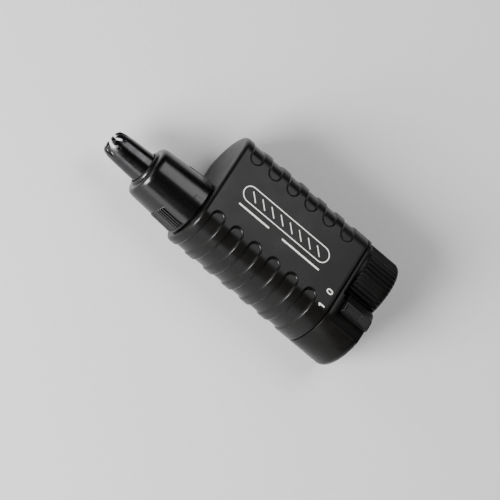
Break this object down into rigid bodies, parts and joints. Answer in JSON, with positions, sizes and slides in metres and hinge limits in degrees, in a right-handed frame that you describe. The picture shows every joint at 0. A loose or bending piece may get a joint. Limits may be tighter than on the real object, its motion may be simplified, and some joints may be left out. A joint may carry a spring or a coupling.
{
  "type": "nose hair trimmer",
  "caption": "Battery-powered nose and ear hair trimmer lying on its back: grooved grip body, slide switch, offset nozzle with a steel rotary blade tube, and a ribbed turning battery cover.",
  "frame": {"origin": "centre of the bounding box's base, on the flat back face that the trimmer lies on", "axes": "+Z out of the front face, +Y along the trimmer from the ribbed battery cover to the cutting tip, +X to the right seen from the front, on the battery side"},
  "size_m": [0.043, 0.103, 0.026],
  "materials": {
    "casing_black": "fine satin texture",
    "gloss_black": "polished moulded",
    "seal_rubber": "matte",
    "chassis_grey": "as moulded",
    "white_nylon": "as moulded",
    "blade_steel": "darkened satin",
    "bright_steel": "bright",
    "magnet_grey": "sintered",
    "copper": "enamelled copper",
    "brass": "plain",
    "cell_wrap": "shrink sleeve",
    "lead_red": "insulation",
    "lead_black": "insulation",
    "slide_grey": "satin with a ridged pad"
  },
  "bodies": {
    "trimmer_body": {"main_casing": "casing_black", "casing_seal": "seal_rubber", "bottom_casing": "casing_black", "inner_chassis": "chassis_grey", "motor_can": "bright_steel", "motor_end_cap": "white_nylon", "brush_arm_front": "copper", "brush_arm_back": "copper", "carbon_brush_front": "magnet_grey", "carbon_brush_back": "magnet_grey", "magnet_front": "magnet_grey", "magnet_back": "magnet_grey", "motor_screw_front": "bright_steel", "motor_screw_back": "bright_steel", "nozzle_bearing": "brass", "shaft_seal": "seal_rubber", "positive_contact": "brass", "switch_leaf": "brass", "lead_positive": "lead_red", "lead_negative": "lead_black"},
    "head_slide": {"head_seal": "seal_rubber"},
    "head": {"head_cone": "gloss_black", "outer_blade": "blade_steel", "blade_retainer": "white_nylon"},
    "rotor": {"motor_shaft": "bright_steel", "rotor_core": "bright_steel", "rotor_coil_1": "copper", "rotor_coil_2": "copper", "rotor_coil_3": "copper", "commutator": "copper", "drive_coupling": "white_nylon", "drive_shaft": "bright_steel"},
    "cutter": {"cutter_holder": "white_nylon", "cutter_blade": "bright_steel"},
    "switch": {"switch_slide": "slide_grey"},
    "cover_slide": {"cover_seal": "seal_rubber"},
    "cover": {"battery_cover": "casing_black", "cover_contact": "brass", "battery_spring": "bright_steel"},
    "battery": {"battery_cell": "cell_wrap", "battery_terminal": "bright_steel"}
  },
  "joints": [
    {"name": "head_pull", "type": "slide", "parent": "trimmer_body", "child": "head_slide", "axis": [0, 1, 0], "range_m": [0, 0.055]},
    {"name": "head_twist", "type": "hinge", "parent": "head_slide", "child": "head", "pos_m": [-0.0095, 0, 0.013], "axis": [0, 1, 0], "range_deg": [0, 25]},
    {"name": "blade_spin", "type": "hinge", "parent": "trimmer_body", "child": "rotor", "pos_m": [-0.0095, 0, 0.013], "axis": [0, 1, 0], "continuous": true},
    {"name": "cutter_pull", "type": "slide", "parent": "rotor", "child": "cutter", "axis": [0, 1, 0], "range_m": [0, 0.0165]},
    {"name": "cover_pull", "type": "slide", "parent": "trimmer_body", "child": "cover_slide", "axis": [0, -1, 0], "range_m": [0, 0.075]},
    {"name": "cover_turn", "type": "hinge", "parent": "cover_slide", "child": "cover", "pos_m": [0.0086, 0, 0.013], "axis": [0, -1, 0], "range_deg": [0, 30]},
    {"name": "switch_move", "type": "slide", "parent": "trimmer_body", "child": "switch", "axis": [-1, 0, 0], "range_m": [0, 0.0048]},
    {"name": "battery_slide", "type": "slide", "parent": "trimmer_body", "child": "battery", "axis": [0, -1, 0], "range_m": [0, 0.06]}
  ],
  "couplings": [
    {"joint": "cutter_pull", "follows": "head_pull", "ratio": 0.3},
    {"joint": "battery_slide", "follows": "cover_pull", "ratio": 0.8}
  ]
}
